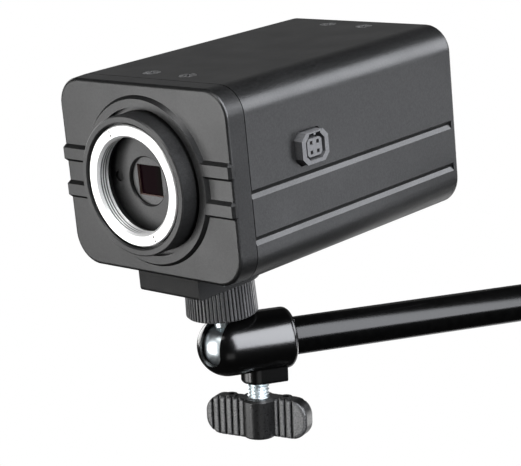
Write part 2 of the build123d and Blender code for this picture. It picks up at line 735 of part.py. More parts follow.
def power_coil():
    """The shielded coil of the power supply."""
    y = MAIN_BOARD_BACK - COIL_AHEAD
    coil = Pos(COIL_X, y, BOARD_TOP + COIL_H / 2) * Box(COIL_SIDE, COIL_SIDE, COIL_H)
    return fillet(coil.edges().filter_by(Axis.Z), COIL_CORNER_R)


# Iris socket

def iris_board():
    """The small upright board that carries the iris socket."""
    y0 = IRIS_Y - IRIS_BOARD_HALF
    y1 = IRIS_Y + IRIS_BOARD_HALF
    return block(IRIS_BOARD_X, IRIS_BOARD_BACK, y0, y1, BOARD_TOP, IRIS_Z + IRIS_BOARD_TOP)


def iris_socket():
    """The eight-sided socket block, recessed round its insert, with a keyway above."""
    body = side_prism(iris_outline(IRIS_L, IRIS_H, IRIS_CUT), IRIS_BOARD_BACK, IRIS_FACE_X)
    floor = IRIS_FACE_X - RECESS_DEPTH
    body -= side_prism(iris_outline(RECESS_L, RECESS_H, RECESS_CUT), floor, IRIS_FACE_X + 1)
    top = IRIS_Z + RECESS_H / 2
    half = KEYWAY_W / 2
    body -= block(floor, IRIS_FACE_X + 1, IRIS_Y - half, IRIS_Y + half, top - 1, top + KEYWAY_H)
    half = KEY_W / 2
    return body + block(floor - KEY_OVER, IRIS_FACE_X, IRIS_Y - half, IRIS_Y + half,
                        top, top + KEYWAY_H + KEY_OVER)


def iris_pin_places():
    """Y and Z of the four contacts."""
    half = PIN_PITCH / 2
    return [(IRIS_Y + y, IRIS_Z + z) for y in (-half, half) for z in (-half, half)]


def iris_insert():
    """The insert that stands in the recess, with four square holes."""
    face = IRIS_FACE_X - INSERT_SINK
    floor = IRIS_FACE_X - RECESS_DEPTH
    insert = side_prism(iris_outline(INSERT_L, INSERT_H, INSERT_CUT), floor, face)
    half = PIN_HOLE / 2
    for y, z in iris_pin_places():
        insert -= block(floor - 1, face + 1, y - half, y + half, z - half, z + half)
    return insert


def iris_contacts():
    """Four square contacts inside the insert's holes."""
    floor = IRIS_FACE_X - RECESS_DEPTH
    face = IRIS_FACE_X - INSERT_SINK - CONTACT_SINK
    half = CONTACT_SIDE / 2
    return [block(floor, face, y - half, y + half, z - half, z + half) for y, z in iris_pin_places()]


# Rear panel and what it carries

def key_places():
    """Name, X and Z of the five menu keys."""
    return {
        "menu_key_set": (KEYS_X, KEYS_Z),
        "menu_key_up": (KEYS_X, KEYS_Z + KEY_SPACING),
        "menu_key_down": (KEYS_X, KEYS_Z - KEY_SPACING),
        "menu_key_left": (KEYS_X - KEY_SPACING, KEYS_Z),
        "menu_key_right": (KEYS_X + KEY_SPACING, KEYS_Z),
    }


def spacer_places():
    """X and Z of the four pillars between the rear board and the panel."""
    return [(x, z) for x in (-SPACER_X, SPACER_X) for z in (SPACER_BOTTOM_Z, SPACER_TOP_Z)]


def rear_panel():
    """The rear panel: rim, spigot, screw lugs, and holes for what passes through."""
    panel = run_back(body_section(), COVER_END, REAR_Y)
    panel = fillet(panel.faces().sort_by(Axis.Y)[-1].edges(), REAR_EDGE_R)
    panel -= run_back(body_section(REAR_RECESS_INSET), REAR_Y - REAR_RECESS, REAR_Y + 1)
    panel += cover_spigot(COVER_END - LIP, COVER_END + 0.5)
    panel += screw_lug(REAR_SCREW_Y - LUG_MARGIN, COVER_END + 0.5, REAR_SCREW_Y)
    y0 = COVER_END - 1
    y1 = REAR_Y + 1
    panel -= rod_y(VIDEO_X, VIDEO_Z, VIDEO_NECK_R + FIT_GAP, y0, y1)
    panel -= rod_y(LED_X, LED_Z, LED_R + FIT_GAP, y0, y1)
    window = Pos(TERMINAL_X, TERMINAL_Z) * Rectangle(TERMINAL_W + 2 * FIT_GAP, TERMINAL_H + 2 * FIT_GAP)
    panel -= run_back(window, y0, y1)
    for x, z in key_places().values():
        panel -= rod_y(x, z, KEY_R + RUN_GAP, y0, y1)
    return panel


def io_board():
    """The upright board behind the main board."""
    half = IO_BOARD_HALF_W
    plate = block(-half, half, IO_BOARD_FRONT, IO_BOARD_BACK, IO_BOARD_BOTTOM, IO_BOARD_TOP)
    for x, z in spacer_places():
        plate -= rod_y(x, z, SPACER_SCREW_R + FIT_GAP, IO_BOARD_FRONT - 1, IO_BOARD_BACK + 1)
    return plate


def io_spacers():
    """Four hexagonal pillars between the board and the panel."""
    pillars = []
    for x, z in spacer_places():
        pillar = run_back(Pos(x, z) * RegularPolygon(SPACER_R, 6), IO_BOARD_BACK, COVER_END)
        tip = IO_BOARD_BACK + SPACER_SCREW_DEPTH
        pillars.append(pillar - rod_y(x, z, SPACER_SCREW_R, IO_BOARD_BACK - 1, tip))
    return pillars


def io_screws():
    """The screws that hold the board to its pillars."""
    head_front = IO_BOARD_FRONT - SPACER_SCREW_HEAD_H
    screws = []
    for x, z in spacer_places():
        screw = rod_y(x, z, SPACER_SCREW_HEAD_R, head_front, IO_BOARD_FRONT)
        screw += rod_y(x, z, SPACER_SCREW_R, IO_BOARD_FRONT, IO_BOARD_BACK + SPACER_SCREW_DEPTH)
        screws.append(screw)
    return screws


def video_socket():
    """The shell of the bayonet video socket."""
    end = REAR_Y - REAR_RECESS + VIDEO_LENGTH
    seat = REAR_Y - REAR_RECESS
    neck = seat - VIDEO_NECK
    shell = turned_y([
        (INSULATOR_R, neck), (VIDEO_NECK_R, neck), (VIDEO_NECK_R, seat), (VIDEO_FLANGE_R, seat),
        (VIDEO_FLANGE_R, seat + VIDEO_FLANGE_T), (VIDEO_R, seat + VIDEO_FLANGE_T), (VIDEO_R, end),
        (VIDEO_BORE_R, end), (VIDEO_BORE_R, end - VIDEO_CUP_DEPTH), (INSULATOR_R, end - VIDEO_CUP_DEPTH),
    ])
    lug = Pos(0, end - VIDEO_LUG_BACK, 0) * Cylinder(VIDEO_LUG_R, VIDEO_R + VIDEO_LUG_OUT,
                                                     align=(Align.CENTER, Align.CENTER, Align.MIN))
    bore = rod_y(0, 0, VIDEO_R - 0.3, neck, end + 1)
    shell = shell + (lug - bore) + (mirror(lug, Plane.XY) - bore)
    return Pos(VIDEO_X, 0, VIDEO_Z) * shell


def video_insulator():
    """The white tube inside the video socket."""
    end = REAR_Y - REAR_RECESS + VIDEO_LENGTH - INSULATOR_BACK
    front = REAR_Y - REAR_RECESS - VIDEO_NECK - 1
    return Pos(VIDEO_X, 0, VIDEO_Z) * turned_y([
        (CONTACT_R, front), (INSULATOR_R, front), (INSULATOR_R, end), (CONTACT_R, end),
    ])


def video_contact():
    """The hollow centre contact, with a tail to the rear board."""
    end = REAR_Y - REAR_RECESS + VIDEO_LENGTH - CONTACT_BACK
    contact = rod_y(VIDEO_X, VIDEO_Z, CONTACT_R, IO_BOARD_BACK, end)
    return contact - rod_y(VIDEO_X, VIDEO_Z, CONTACT_BORE_R, end - 4, end + 1)


def video_nut():
    """The hexagonal nut behind the panel."""
    nut = run_back(RegularPolygon(NUT_ACROSS / 2, 6, major_radius=False), COVER_END - NUT_T, COVER_END)
    nut = Pos(VIDEO_X, 0, VIDEO_Z) * nut
    return nut - rod_y(VIDEO_X, VIDEO_Z, VIDEO_NECK_R, COVER_END - NUT_T - 1, COVER_END + 1)


def terminal_sides():
    """X of the terminal's two poles."""
    return (TERMINAL_X - TERMINAL_PITCH / 2, TERMINAL_X + TERMINAL_PITCH / 2)


def power_terminal():
    """The two-pole power terminal, with wire mouths behind and screw wells on top."""
    back = REAR_Y + TERMINAL_OUT
    top = TERMINAL_Z + TERMINAL_H / 2
    outline = Pos(TERMINAL_X, TERMINAL_Z) * Rectangle(TERMINAL_W, TERMINAL_H)
    body = run_back(outline, IO_BOARD_BACK, back)
    body = chamfer(body.faces().sort_by(Axis.Y)[-1].edges(), TERMINAL_EDGE)
    well_y = REAR_Y + TERMINAL_OUT / 2
    well_r = TERMINAL_SCREW_R + FIT_GAP
    for x in terminal_sides():
        mouth = Pos(x, TERMINAL_Z - 1) * Rectangle(WIRE_W, WIRE_H)
        body -= run_back(mouth, back - WIRE_DEPTH, back + 1)
        body -= rod_z(x, well_y, well_r, top - TERMINAL_SCREW_H, top + 1)
    return body


def terminal_screws():
    """Two slotted screws sunk in the terminal's top."""
    top = TERMINAL_Z + TERMINAL_H / 2
    y = REAR_Y + TERMINAL_OUT / 2
    screws = []
    for x in terminal_sides():
        screw = rod_z(x, y, TERMINAL_SCREW_R, top - TERMINAL_SCREW_H, top - 0.2)
        half = TERMINAL_SLOT_W / 2
        screws.append(screw - block(x - 2, x + 2, y - half, y + half, top - 0.8, top + 1))
    return screws


def power_led():
    """The round indicator lamp, domed at its end."""
    end = REAR_Y - REAR_RECESS + LED_OUT
    led = rod_y(LED_X, LED_Z, LED_R, IO_BOARD_BACK, end)
    return fillet(led.edges().sort_by(Axis.Y)[-1], LED_R / 2)


def menu_key(x, z):
    """One menu key: a round cap with a collar that stops it behind the panel."""
    face = REAR_Y - REAR_RECESS + KEY_PROUD
    front = IO_BOARD_BACK + SWITCH_T + PLUNGER_H + KEY_TRAVEL + FIT_GAP
    stop = COVER_END - KEY_COLLAR_GAP
    cap = rod_y(x, z, KEY_R, front, face)
    cap = fillet(cap.edges().sort_by(Axis.Y)[-1], 0.4)
    return cap + rod_y(x, z, KEY_COLLAR_R, stop - KEY_COLLAR_T, stop)


def key_switches():
    """The five small switches on the rear board, one behind each key."""
    top = IO_BOARD_BACK + SWITCH_T
    switches = []
    for x, z in key_places().values():
        base = run_back(Pos(x, z) * Rectangle(SWITCH_SIDE, SWITCH_SIDE), IO_BOARD_BACK, top)
        switches.append(base + rod_y(x, z, PLUNGER_R, IO_BOARD_BACK, top + PLUNGER_H))
    return switches


# Mount block, lock ring and ball

def mount_block():
    """The tongue-shaped block under the front, with the stud's hole and two screws."""
    plan = Pos(0, (BLOCK_FRONT + STUD_Y) / 2) * Rectangle(2 * BLOCK_HALF_W, STUD_Y - BLOCK_FRONT)
    plan += Pos(0, STUD_Y) * Circle(BLOCK_HALF_W)
    body = extrude(Pos(0, 0, BLOCK_Z) * plan, BLOCK_H)
    front_edge = body.edges().filter_by(Axis.X).sort_by(Axis.Z)[0]
    body = fillet(front_edge, BLOCK_EDGE_R)
    body -= rod_z(0, STUD_Y, STUD_R + RUN_GAP, BLOCK_Z - 1, BLOCK_Z + STUD_ENGAGED + FIT_GAP)
    for x in (-SCREW_X, SCREW_X):
        body -= Pos(x, FRONT_SCREW_Y, BLOCK_Z + SINK_DEPTH) * Rot(180, 0, 0) * countersunk_hole(BLOCK_H + 1)
    return body


def block_screws():
    """The two screws that hold the block to the bezel, sunk in its underside."""
    longer = BLOCK_H + WALL
    screws = []
    for x in (-SCREW_X, SCREW_X):
        screw = countersunk_screw() + rod_z(0, 0, SCREW_R, -SCREW_LENGTH - longer + 2, -SCREW_HEAD_H)
        screws.append(Pos(x, FRONT_SCREW_Y, BLOCK_Z + SINK_DEPTH) * Rot(180, 0, 0) * screw)
    return screws


def lock_ring():
    """The knurled lock ring, slightly wider at its lower end."""
    step = math.pi / KNURLS
    points = []
    for index in range(2 * KNURLS):
        radius = LOCK_R if index % 2 else LOCK_R - KNURL_DEPTH
        points.append((radius * math.cos(index * step), radius * math.sin(index * step)))
    ring = extrude(make_face(Polyline(*points, close=True)), LOCK_H)
    limit = turned_z([
        (STUD_R + RUN_GAP, 0), (LOCK_R - LOCK_EDGE, 0), (LOCK_R, LOCK_EDGE),
        (LOCK_TOP_R, LOCK_H - LOCK_EDGE), (LOCK_TOP_R - LOCK_EDGE, LOCK_H), (STUD_R + RUN_GAP, LOCK_H),
    ])
    return Pos(0, STUD_Y, LOCK_Z) * (ring & limit)


def ball_stud():
    """The chromed ball with its neck and threaded stud, in one piece."""
    stud_end = BLOCK_Z + STUD_ENGAGED - BALL_Z
    ring_z = LOCK_Z - BALL_Z
    stud = Sphere(BALL_R)
    stud += rod_z(0, 0, NECK_R, 0, ring_z + 1)
    stud += rod_z(0, 0, STUD_R, ring_z, stud_end)
    stud = chamfer(stud.edges().sort_by(Axis.Z)[-1], 0.5)
    return Pos(0, STUD_Y, BALL_Z) * stud


# Arm, drawn along +X from the ball's centre

def ball_slot():
    """The path of the ball's neck: from straight up, over the front, to below level."""
    reach = 2 * HOUSING_R
    down = math.radians(SLOT_DOWN_DEG)
    end_x = -reach * math.cos(down)
    end_z = -reach * math.sin(down)
    side = Polyline((0, 0), (0, reach), (-reach, reach), (-reach, end_z), (end_x, end_z), close=True)
    sector = extrude(Plane.XZ * make_face(side), SLOT_HALF_W, both=True)
    upright = rod_z(0, 0, SLOT_HALF_W, 0, reach)
    return sector + upright + Rot(0, -90 - SLOT_DOWN_DEG, 0) * upright


def ball_housing():
    """The bullet-shaped housing: socket, slot, bore for the arm and clamp tongue."""
    inner_r = BALL_R + SOCKET_GAP
    body = Pos(DOME_X, 0, 0) * Sphere(HOUSING_R)
    barrel = turned_x([(DOME_X, 0), (DOME_X, HOUSING_R), (HOUSING_LENGTH, HOUSING_R), (HOUSING_LENGTH, 0)])
    body += fillet(barrel.edges().sort_by(Axis.X)[-1], HOUSING_EDGE_R)
    tongue = Pos(CLAMP_X, 0) * Circle(TONGUE_R)
    tongue += Pos((CLAMP_X + TONGUE_END) / 2, 0) * Rectangle(TONGUE_END - CLAMP_X, 2 * TONGUE_R)
    tongue_top = -inner_r - 0.5
    tongue = extrude(Pos(0, 0, TONGUE_Z) * tongue, tongue_top - TONGUE_Z)
    lower_arc = tongue.edges().filter_by(GeomType.CIRCLE).sort_by(Axis.Z)[0]
    body += fillet(lower_arc, TONGUE_EDGE_R)
    body -= Sphere(inner_r)
    body -= turned_x([(0, 0), (0, inner_r), (HOUSING_LENGTH + 1, inner_r), (HOUSING_LENGTH + 1, 0)])
    body -= Rot(0, -ARM_TILT, 0) * Rot(0, 0, SLOT_TURN) * ball_slot()
    body -= rod_z(CLAMP_X, 0, CLAMP_R + RUN_GAP, TONGUE_Z - 1, 0)
    return ARM_PLACE * body


def arm_bush():
    """The bush that fills the housing's bore round the arm."""
    outer = BALL_R + SOCKET_GAP
    start = ROD_START + ROD_EDGE
    return ARM_PLACE * turned_x([
        (start, ROD_R), (start, outer), (HOUSING_LENGTH, outer), (HOUSING_LENGTH, ROD_R),
    ])


def arm_rod():
    """The round arm between the ball housing and the wall flange."""
    end = ARM_LENGTH - FLANGE_WEB
    return ARM_PLACE * turned_x([
        (ROD_START, 0), (ROD_START, ROD_R - ROD_EDGE), (ROD_START + ROD_EDGE, ROD_R), (end, ROD_R), (end, 0),
    ])


def wall_flange():
    """The round wall flange, with a hub for the arm and three countersunk holes."""
    hub_start = ARM_LENGTH - FLANGE_HUB
    plate_start = ARM_LENGTH - FLANGE_PLATE
    body = turned_x([
        (hub_start, 0), (hub_start, FLANGE_HUB_TOP_R), (plate_start, FLANGE_HUB_R),
        (plate_start, FLANGE_R), (ARM_LENGTH, FLANGE_R), (ARM_LENGTH, 0),
    ])
    rim = body.edges().filter_by(GeomType.CIRCLE).sort_by(SortBy.RADIUS)[-2:]
    body = fillet(rim.sort_by(Axis.X)[0], FLANGE_EDGE_R)
    bore_end = ARM_LENGTH - FLANGE_WEB
    body -= turned_x([(hub_start - 1, 0), (hub_start - 1, ROD_R), (bore_end, ROD_R), (bore_end, 0)])
    hole = turned_x([
        (plate_start - 1, 0), (plate_start - 1, WALL_SINK_R), (plate_start, WALL_SINK_R),
        (plate_start + WALL_SINK_DEPTH, WALL_HOLE_R), (ARM_LENGTH + 1, WALL_HOLE_R), (ARM_LENGTH + 1, 0),
    ])
    for index in range(WALL_HOLES):
        turn = Rot(90 + index * 360 / WALL_HOLES, 0, 0)
        body -= turn * Pos(0, WALL_HOLE_PCR, 0) * hole
    well = rod_z(hub_start + SET_SCREW_BACK, 0, SET_SCREW_R, -FLANGE_HUB_R - 1, -ROD_R + 1)
    return ARM_PLACE * (body - well)


def flange_set_screw():
    """The headless screw that holds the arm in the flange's hub."""
    x = ARM_LENGTH - FLANGE_HUB + SET_SCREW_BACK
    screw = rod_z(x, 0, SET_SCREW_R, -FLANGE_HUB_TOP_R, -ROD_R)
    hex_well = Pos(x, 0, -FLANGE_HUB_TOP_R) * RegularPolygon(SET_HEX / 2, 6, major_radius=False)
    return ARM_PLACE * (screw - extrude(hex_well, SET_HEX_DEPTH))


def pressure_pad():
    """The pad that the clamp screw presses against the ball, hollowed to fit it."""
    pad = rod_z(CLAMP_X, 0, CLAMP_R, -CLAMP_TIP + PAD_TIP_GAP, -PAD_TOP)
    return ARM_PLACE * (pad - Sphere(BALL_R + PAD_BALL_GAP))


def clamp_screw():
    """The threaded rod of the wing knob."""
    screw = rod_z(CLAMP_X, 0, CLAMP_R, KNOB_Z - SCREW_IN_KNOB, -CLAMP_TIP)
    return ARM_PLACE * chamfer(screw.edges().sort_by(Axis.Z)[-1], 0.4)


def ridge_cutter():
    """A tapered groove's cutter, upright along the knob's full height, opening towards +Y."""
    half = RIDGE_W / 2
    floor = RIDGE_FLOOR_W / 2
    notch = Polyline(
        (-half, FIT_GAP), (-floor, -RIDGE_DEPTH), (floor, -RIDGE_DEPTH), (half, FIT_GAP), close=True,
    )
    return Pos(0, 0, -KNOB_H) * extrude(make_face(notch), 2 * KNOB_H)


def knob_wing():
    """The wing on the hub's +X side, set to +Y of the hub's axis and ridged on both faces."""
    reach = KNOB_SPAN / 2
    outline = Pos(reach / 2, 0) * Rectangle(reach, KNOB_H)
    outline = fillet(outline.vertices().group_by(Axis.X)[-1], WING_END_R)
    wing = extrude(Plane.XZ * outline, WING_T / 2, both=True)
    wing = fillet(wing.faces().filter_by(Axis.Y).edges().filter_by(Axis.Z, reverse=True), WING_EDGE_R)
    for index in RIDGES_FRONT:
        wing -= Pos(RIDGE_FIRST + index * RIDGE_PITCH, WING_T / 2, 0) * ridge_cutter()
    for index in RIDGES_BACK:
        turned = Rot(0, 0, 180) * ridge_cutter()
        wing -= Pos(RIDGE_FIRST + index * RIDGE_PITCH, -WING_T / 2, 0) * turned
    top = KNOB_H / 2
    wing += rod_z(DIMPLE_X, 0, DIMPLE_RIM_R, top - WING_EDGE_R, top + DIMPLE_RIM_H)
    wing -= rod_z(DIMPLE_X, 0, DIMPLE_R, top - DIMPLE_DEPTH, top + 1)
    return Pos(0, WING_OFFSET, 0) * wing


def wing_knob():
    """The two-winged knob, moulded on the clamp screw."""
    top = KNOB_H / 2
    bottom = -top - HUB_EXTRA
    hub = turned_z([
        (0, top), (HUB_R - HUB_EDGE, top), (HUB_R, top - HUB_EDGE), (HUB_R, bottom + HUB_EDGE),
        (HUB_R - HUB_EDGE, bottom), (0, bottom),
    ])
    knob = hub + knob_wing() + Rot(0, 0, 180) * knob_wing()
    knob -= rod_z(0, 0, CLAMP_R, top - SCREW_IN_KNOB, top + 1)
    return ARM_PLACE * Pos(CLAMP_X, 0, KNOB_Z - top) * Rot(0, 0, KNOB_TURN - ARM_TURN) * knob


def write_nodes():
    """Write one STEP file for each named piece or group of like pieces."""
    nodes = {
        "front_bezel": front_bezel(),
        "lens_barrel": lens_barrel(),
        "lens_ring": lens_ring(),
        "filter_holder": filter_holder(),
        "ir_filter": ir_filter(),
        "sensor_gasket": sensor_gasket(),
        "image_sensor": image_sensor(),
        "sensor_board": sensor_board(),
        "barrel_screws": barrel_screws(),
        "cover_sleeve": cover_sleeve(),
        "main_board": main_board(),
        "sensor_header": sensor_header(),
        "io_header": io_header(),
        "processor_chip": processor_chip(),
        "capacitors": capacitors(),
        "power_coil": power_coil(),
        "iris_board": iris_board(),
        "iris_socket": iris_socket(),
        "iris_insert": iris_insert(),
        "iris_contacts": iris_contacts(),
        "rear_panel": rear_panel(),
        "io_board": io_board(),
        "io_spacers": io_spacers(),
        "io_screws": io_screws(),
        "video_socket": video_socket(),
        "video_insulator": video_insulator(),
        "video_contact": video_contact(),
        "video_nut": video_nut(),
        "power_terminal": power_terminal(),
        "terminal_screws": terminal_screws(),
        "power_led": power_led(),
        "key_switches": key_switches(),
        "front_screws": screw_pair(FRONT_SCREW_Y, TOP_Z),
        "rear_screws": screw_pair(REAR_SCREW_Y, TOP_Z),
        "bottom_screws": screw_pair(REAR_SCREW_Y, BOTTOM_Z, facing_up=False),
        "mount_block": mount_block(),
        "block_screws": block_screws(),
        "lock_ring": lock_ring(),
        "ball_stud": ball_stud(),
        "ball_housing": ball_housing(),
        "arm_bush": arm_bush(),
        "arm_rod": arm_rod(),
        "wall_flange": wall_flange(),
        "flange_set_screw": flange_set_screw(),
        "pressure_pad": pressure_pad(),
        "clamp_screw": clamp_screw(),
        "wing_knob": wing_knob(),
    }
    for name, (x, z) in key_places().items():
        nodes[name] = menu_key(x, z)
    os.makedirs("parts", exist_ok=True)
    for name, shape in nodes.items():
        solids = Compound(children=shape) if isinstance(shape, list) else shape
        export_step(solids, f"parts/{name}.step")


write_nodes()
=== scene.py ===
import json
import math

import bmesh
import bpy
from mathutils import Matrix, Vector


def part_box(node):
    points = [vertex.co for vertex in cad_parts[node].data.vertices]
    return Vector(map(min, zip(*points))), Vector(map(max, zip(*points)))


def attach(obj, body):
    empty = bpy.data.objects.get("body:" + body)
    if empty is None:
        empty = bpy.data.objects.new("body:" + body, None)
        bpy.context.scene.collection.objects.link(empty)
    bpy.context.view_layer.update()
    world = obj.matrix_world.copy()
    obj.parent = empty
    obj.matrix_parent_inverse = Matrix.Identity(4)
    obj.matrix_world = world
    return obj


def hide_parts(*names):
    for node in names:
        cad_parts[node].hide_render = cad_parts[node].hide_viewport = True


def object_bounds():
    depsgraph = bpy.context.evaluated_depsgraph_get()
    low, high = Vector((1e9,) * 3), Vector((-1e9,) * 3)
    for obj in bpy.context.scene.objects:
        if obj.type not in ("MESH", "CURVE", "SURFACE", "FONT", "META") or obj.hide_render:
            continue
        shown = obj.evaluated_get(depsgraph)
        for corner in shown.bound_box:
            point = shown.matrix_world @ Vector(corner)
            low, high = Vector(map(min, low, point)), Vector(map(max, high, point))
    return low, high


# The CAD model is the frame. Every size here is in metres.
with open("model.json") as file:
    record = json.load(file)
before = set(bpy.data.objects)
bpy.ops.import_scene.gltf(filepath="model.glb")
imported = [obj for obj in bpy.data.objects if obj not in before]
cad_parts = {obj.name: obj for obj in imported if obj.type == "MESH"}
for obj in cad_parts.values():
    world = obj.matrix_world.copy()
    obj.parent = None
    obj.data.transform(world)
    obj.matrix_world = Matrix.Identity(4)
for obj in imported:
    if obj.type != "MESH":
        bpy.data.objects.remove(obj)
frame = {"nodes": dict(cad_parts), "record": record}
CAD_BOUNDS = [list(corner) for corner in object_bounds()]
NODES = frame["nodes"]
MM = 0.001

# The camera that the photograph was taken with, in the part's own frame
CAMERA_PLACE = (0.33410, -0.30148, 0.10777)
CAMERA_AZIMUTH = 44.06
CAMERA_ELEVATION = 15.29
CAMERA_ROLL = -5.49
CAMERA_LENS = 129.33
SENSOR_WIDTH = 36.0
CLIP_START = 0.01

# World and floor
BACKDROP_LIGHT = 1.0
AMBIENT_LIGHT = 0.02
FLOOR_REACH = 6.0
FLOOR_DROP = 0.12

# Soft boxes: direction from the middle of the part, size, power in watts and colour
LIGHT_MIDDLE = (0.0, 0.04, -0.01)
LIGHT_DISTANCE = 0.9
PLAIN = (1.0, 1.0, 1.0)
COOL = (0.93, 0.95, 1.0)
SOFT_BOXES = {
    "face_left": ((-0.60, -0.79, -0.12), (0.40, 0.45), 2.8, PLAIN),
    "front_strip": ((-0.22, -0.95, -0.02), (0.12, 0.70), 3.2, PLAIN),
    "left_strip": ((-0.50, -0.85, 0.15), (0.30, 0.50), 1.0, PLAIN),
    "side_back": ((0.70, 0.66, -0.30), (0.45, 0.30), 1.05, COOL),
    "back_high": ((0.60, 0.69, 0.30), (0.55, 0.46), 6.0, COOL),
    "right_high": ((0.87, -0.04, 0.56), (0.45, 1.40), 23.0, COOL),
    "top_left": ((-0.67, 0.69, 0.26), (0.50, 0.50), 0.13, PLAIN),
    "high_front": ((0.10, -0.60, 0.80), (0.40, 0.40), 3.0, PLAIN),
    "floor_back": ((-0.20, 0.69, -0.65), (0.50, 0.40), 0.5, PLAIN),
    "rear_fill": ((0.0, 0.94, -0.34), (0.60, 0.40), 2.5, PLAIN),
    "left_fill": ((-0.96, 0.20, 0.05), (0.50, 0.50), 3.0, PLAIN),
    "low_right": ((0.75, -0.60, -0.50), (0.40, 0.30), 0.25, PLAIN),
}

# Threads: the height of a V with a narrow flat at its root and at its crest
THREAD_SLOPE = 1.3
THREAD_ROOT_FLAT = 0.12
ROWS_PER_PITCH = 10

# Lens ring, about the Y axis, with its face at Y = 0
RING_COUNT = 160
RING_R = 15.5 * MM
RING_EDGE = 0.3 * MM
RING_LENGTH = 5.0 * MM
RING_MOUTH_R = 12.87 * MM
RING_SHARP = 40
THREAD_MINOR_R = 12.27 * MM
THREAD_MAJOR_R = 12.7 * MM
THREAD_PITCH = 25.4 * MM / 32
THREAD_START = 0.6 * MM
THREAD_END = 3.5 * MM
THREAD_FADE_ROWS = 4.0
SPANNER_COUNT = 12
SPANNER_R = 0.32 * MM
SPANNER_DEPTH = 0.6 * MM
SPANNER_PLACES = ((13.6 * MM, 115), (14.7 * MM, 115), (13.6 * MM, 295), (14.7 * MM, 295))
# Painted shade in the roots of the ring's thread: the radius it starts at, and the width of its fade
ROOT_R = 12.44 * MM
ROOT_SHADE_FADE = 0.1 * MM

# Clamp screw and its knob
CLAMP_COUNT = 48
CLAMP_PITCH = 1.0 * MM
CLAMP_ROOT_R = 2.35 * MM
CLAMP_CREST_R = 2.9 * MM
CLAMP_TIP_HEIGHT = 0.2
CLAMP_FADE_ROWS = 8.0
CLAMP_SHARP = 60
HUB_R = 4.8 * MM
HUB_FADE = 0.4 * MM
WING_FAR = 8 * MM
WING_HALF = 2.4 * MM
WING_TURN = 15.6
# The painted shade in the wings' grooves fades out between a ridge's foot and its top
RIDGE_FOOT = 0.65 * MM
RIDGE_TOP = 0.15 * MM

# Knurled lock ring; each ridge is a list of shares of a turn and of the depth
KNURLS = 56
KNURL_DEPTH = 0.5 * MM
KNURL_SHAPE = ((0.00, 0.85), (0.14, 1.0), (0.46, 1.0), (0.60, 0.85), (0.70, 0.0), (0.90, 0.0))
LOCK_R = 9.5 * MM
LOCK_TOP_R = 9.2 * MM
LOCK_EDGE = 0.4 * MM
LOCK_BORE_R = 3.18 * MM

# Filter and its holder
FILTER_SINK = 0.55 * MM
FILTER_BEVEL = 0.06 * MM
FILTER_RED_X = 1.0 * MM
FILTER_GREEN_X = 4.0 * MM
WINDOW_START = 0.02 * MM
WINDOW_FADE = 0.06 * MM

# The middle range that most values of a noise texture lie in
NOISE_LOW = 0.3
NOISE_HIGH = 0.7
BROAD_GRAIN = 25.0

# Every material, by the name that it is made under
LOOKS = {}

# The CAD nodes that each material dresses
DRESSED = {
    "coat": ("front_bezel", "cover_sleeve", "rear_panel", "bottom_screws", "block_screws"),
    "steel": ("front_screws", "rear_screws"),
    "block": ("mount_block",),
    "barrel": ("lens_barrel", "sensor_gasket"),
    "holder": ("filter_holder",),
    "board": ("sensor_board", "main_board", "io_board", "iris_board"),
    "black": (
        "image_sensor", "processor_chip", "power_coil", "sensor_header", "io_header", "key_switches",
        "menu_key_set", "menu_key_up", "menu_key_down", "menu_key_left", "menu_key_right", "flange_set_screw",
    ),
    "socket": ("iris_socket",),
    "grey": ("iris_insert",),
    "gold": ("iris_contacts", "video_contact", "io_spacers"),
    "plated": ("barrel_screws", "io_screws", "video_socket", "video_nut", "terminal_screws", "capacitors"),
    "white": ("video_insulator", "pressure_pad"),
    "green": ("power_terminal",),
    "led": ("power_led",),
    "chrome": ("ball_stud",),
    "gloss": ("ball_housing",),
    "rod": ("arm_rod", "wall_flange"),
    "bush": ("arm_bush",),
    "knob": ("wing_knob",),
}


# Camera, lights and floor

def make_camera():
    """The camera, from its place and its three angles."""
    azimuth = math.radians(CAMERA_AZIMUTH)
    elevation = math.radians(CAMERA_ELEVATION)
    roll = math.radians(CAMERA_ROLL)
    back = Vector((
        math.sin(azimuth) * math.cos(elevation),
        -math.cos(azimuth) * math.cos(elevation),
        math.sin(elevation),
    ))
    level_right = (-back).cross(Vector((0, 0, 1))).normalized()
    level_up = level_right.cross(-back)
    right = math.cos(roll) * level_right + math.sin(roll) * level_up
    up = -math.sin(roll) * level_right + math.cos(roll) * level_up
    data = bpy.data.cameras.new("camera")
    data.sensor_fit = "HORIZONTAL"
    data.sensor_width = SENSOR_WIDTH
    data.lens = CAMERA_LENS
    data.clip_start = CLIP_START
    camera = bpy.data.objects.new("camera", data)
    camera.matrix_world = Matrix.Translation(CAMERA_PLACE) @ Matrix((right, up, back)).transposed().to_4x4()
    bpy.context.scene.collection.objects.link(camera)
    bpy.context.scene.camera = camera


def soft_box(name, toward, size, power, color):
    """A rectangular light in a direction from the middle of the part, facing it."""
    data = bpy.data.lights.new(name, "AREA")
    data.shape = "RECTANGLE"
    data.size = size[0]
    data.size_y = size[1]
    data.energy = power
    data.color = color
    middle = Vector(LIGHT_MIDDLE)
    place = middle + LIGHT_DISTANCE * Vector(toward).normalized()
    light = bpy.data.objects.new(name, data)
    light.location = place
    light.rotation_euler = (middle - place).to_track_quat("-Z", "Y").to_euler()
    bpy.context.scene.collection.objects.link(light)


def background(tree, strength):
    """A white background of a given strength."""
    node = tree.nodes.new("ShaderNodeBackground")
    node.inputs["Color"].default_value = (1, 1, 1, 1)
    node.inputs["Strength"].default_value = strength
    return node.outputs[0]


